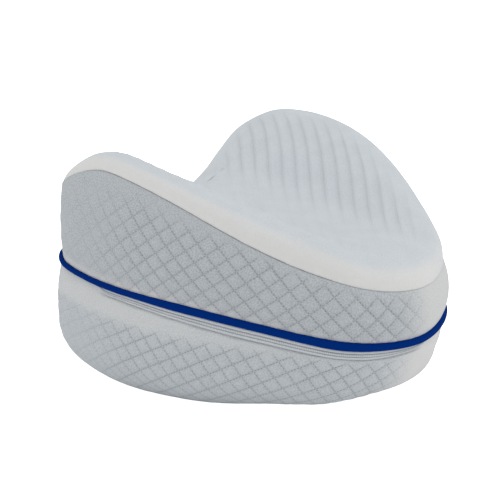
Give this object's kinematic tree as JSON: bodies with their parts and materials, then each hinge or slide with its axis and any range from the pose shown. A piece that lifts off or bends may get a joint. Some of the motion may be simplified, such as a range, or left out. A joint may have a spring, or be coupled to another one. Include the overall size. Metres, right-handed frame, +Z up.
{
  "type": "contoured knee pillow",
  "caption": "Heart-shaped foam pillow with a leg channel above and below, in a quilted fabric cover with a piped middle seam and a zip along one side.",
  "frame": {"origin": "on the surface that the pillow rests on, under the middle of its box", "axes": "+Z up, the leg channels along Y with the low nose at -Y and the notched end with the two lobes at +Y, the zip on the -X side"},
  "size_m": [0.2274, 0.257, 0.1613],
  "materials": {
    "quilted_knit": "matte, heathered light grey knit quilted in diamonds",
    "piping_cloth": "matte royal blue cord",
    "zip_tape_cloth": "matte off-white woven tape",
    "zip_coil_plastic": "satin white nylon coil"
  },
  "bodies": {
    "root": {"top_panel": "quilted_knit", "upper_side_band": "quilted_knit", "piping": "piping_cloth", "zip_tape_upper": "zip_tape_cloth", "zip_coil": "zip_coil_plastic", "zip_tape_lower": "zip_tape_cloth", "lower_side_band": "quilted_knit", "bottom_panel": "quilted_knit"}
  },
  "joints": []
}
